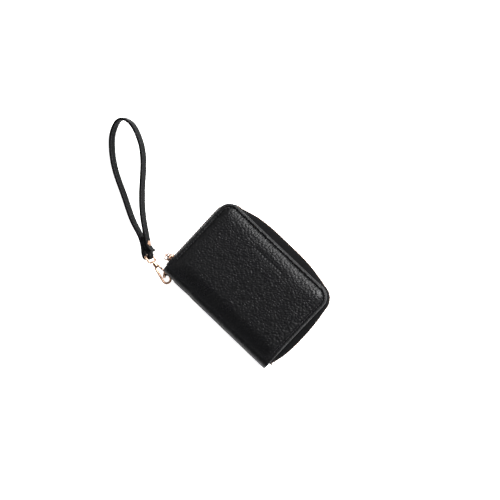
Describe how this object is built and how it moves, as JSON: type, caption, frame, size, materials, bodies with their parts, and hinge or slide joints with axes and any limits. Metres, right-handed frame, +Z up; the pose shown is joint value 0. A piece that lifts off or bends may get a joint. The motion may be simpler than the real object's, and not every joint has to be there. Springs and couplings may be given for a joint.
{
  "type": "wristlet wallet",
  "caption": "Compact zip-around wristlet wallet in black leather with a leather wrist strap on a swivel snap hook.",
  "frame": {"origin": "centre of the flat back face the wallet rests on", "axes": "+X along the spine, +Y from the spine to the long zip side, +Z up through the front cover"},
  "size_m": [0.2864, 0.1148, 0.0228],
  "materials": {
    "pebbled_leather": "pebbled",
    "smooth_leather": "satin",
    "zip_tape": "matte",
    "lining": "satin",
    "board": "matte",
    "foam": "matte",
    "gold_metal": "polished"
  },
  "bodies": {
    "back_half": {"back_cover_leather": "pebbled_leather", "back_board": "board", "back_lining": "lining", "card_panel_back": "smooth_leather", "spine_leather_back": "smooth_leather", "spine_lining_back": "lining", "zip_tape_back": "zip_tape", "zip_teeth_back": "gold_metal", "zip_stops": "gold_metal", "d_ring_tab": "smooth_leather"},
    "front_half": {"front_cover_leather": "pebbled_leather", "front_padding": "foam", "front_board": "board", "front_lining": "lining", "card_panel_front": "smooth_leather", "spine_leather_front": "smooth_leather", "spine_lining_front": "lining", "zip_tape_front": "zip_tape", "zip_teeth_front": "gold_metal"},
    "coin_pocket": {"coin_panel_back": "lining", "coin_panel_front": "lining", "coin_zip_tape": "zip_tape", "coin_zip_teeth": "gold_metal"},
    "coin_slider": {"coin_zip_slider": "gold_metal"},
    "coin_pull": {"coin_zip_pull": "gold_metal"},
    "zip_slider_body": {"zip_slider": "gold_metal"},
    "pull_link_body": {"pull_link": "gold_metal"},
    "pull_ring_body": {"pull_ring": "gold_metal"},
    "d_ring_body": {"d_ring": "gold_metal"},
    "hook": {"hook_body": "gold_metal", "gate_pin": "gold_metal"},
    "gate_body": {"gate": "gold_metal"},
    "swivel": {"swivel_ring": "gold_metal"},
    "strap": {"wrist_strap": "smooth_leather", "strap_rivet": "gold_metal", "strap_rivet_cap": "gold_metal"}
  },
  "joints": [
    {"name": "cover_hinge", "type": "hinge", "parent": "back_half", "child": "front_half", "pos_m": [0, -0.0505, 0.011], "axis": [1, 0, 0], "range_deg": [0, 150]},
    {"name": "coin_pocket_hinge", "type": "hinge", "parent": "back_half", "child": "coin_pocket", "pos_m": [0, -0.0505, 0.011], "axis": [1, 0, 0], "range_deg": [0, 75]},
    {"name": "coin_slider_travel", "type": "slide", "parent": "coin_pocket", "child": "coin_slider", "axis": [1, 0, 0], "range_m": [0, 0.096]},
    {"name": "coin_pull_swing", "type": "hinge", "parent": "coin_slider", "child": "coin_pull", "pos_m": [-0.049, 0.0409, 0.011], "axis": [1, 0, 0], "range_deg": [-30, 30]},
    {"name": "zip_slider_travel", "type": "slide", "parent": "back_half", "child": "zip_slider_body", "axis": [0, 1, 0], "range_m": [0, 0.058]},
    {"name": "pull_link_swing", "type": "hinge", "parent": "zip_slider_body", "child": "pull_link_body", "pos_m": [-0.076, -0.0352, 0.011], "axis": [0, 1, 0], "range_deg": [-100, 0]},
    {"name": "pull_ring_swing", "type": "hinge", "parent": "pull_link_body", "child": "pull_ring_body", "pos_m": [-0.07826, -0.0352, 0.01326], "axis": [0, 1, 0], "range_deg": [-110, 0]},
    {"name": "d_ring_swing", "type": "hinge", "parent": "back_half", "child": "d_ring_body", "pos_m": [-0.0675, -0.0491, 0.0069], "axis": [0.5225, -0.8526, 0], "range_deg": [-15, 15]},
    {"name": "hook_swing", "type": "hinge", "parent": "d_ring_body", "child": "hook", "pos_m": [-0.06494, -0.05328, 0.012], "axis": [0, 0, 1], "range_deg": [-8, 8]},
    {"name": "gate_open", "type": "hinge", "parent": "hook", "child": "gate_body", "pos_m": [-0.0748, -0.04835, 0.012], "axis": [0, 0, -1], "range_deg": [0, 11], "stiffness_Nm_per_rad": 0.003, "springref_deg": -17.19},
    {"name": "swivel_spin", "type": "hinge", "parent": "hook", "child": "swivel", "pos_m": [-0.0777, -0.0503, 0.012], "axis": [0.9903, -0.1392, 0], "continuous": true},
    {"name": "strap_swing", "type": "hinge", "parent": "swivel", "child": "strap", "pos_m": [-0.09206, -0.04828, 0.012], "axis": [-0.0407, -0.2895, 0.9563], "range_deg": [-25, 25]}
  ],
  "couplings": [
    {"joint": "coin_pocket_hinge", "follows": "cover_hinge", "ratio": 0.5}
  ]
}
